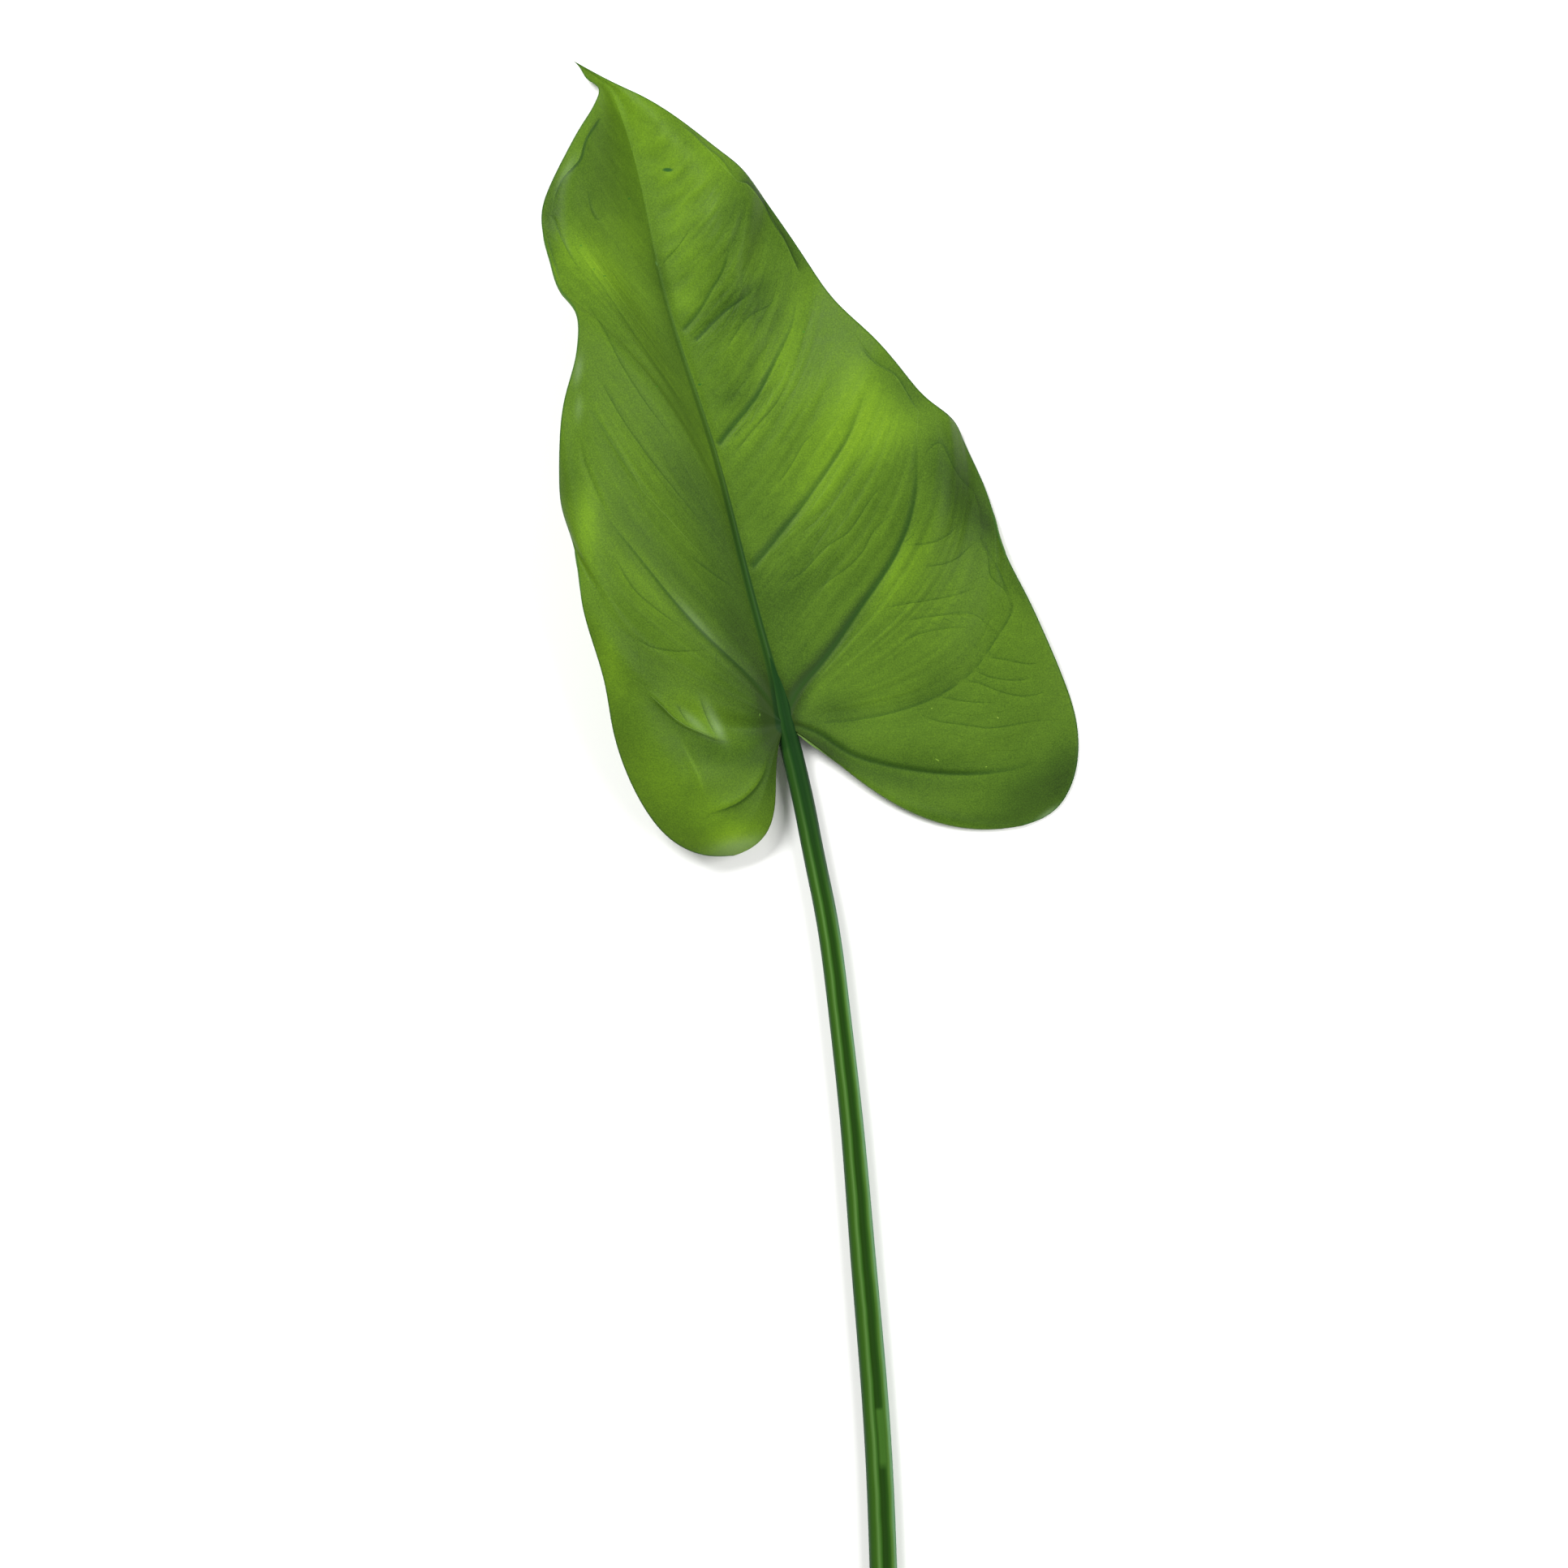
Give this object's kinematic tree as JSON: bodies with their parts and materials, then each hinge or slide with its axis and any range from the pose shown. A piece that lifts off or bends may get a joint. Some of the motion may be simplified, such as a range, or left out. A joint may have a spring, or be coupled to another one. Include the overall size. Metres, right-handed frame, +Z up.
{
  "type": "calla lily leaf",
  "caption": "Fresh cut arrow-shaped leaf with waved edges, a sunken midrib, two lobes at the base and a long round stalk, lying on a surface.",
  "frame": {"origin": "centre of the bounding box in plan, on the surface that the leaf lies on", "axes": "+Y from the cut end of the stalk towards the leaf's tip, +Z up from the surface, upper face up"},
  "size_m": [0.1646, 0.4892, 0.0384],
  "materials": {
    "leaf": "satin"
  },
  "bodies": {
    "root": {"leaf": "leaf"}
  },
  "joints": []
}
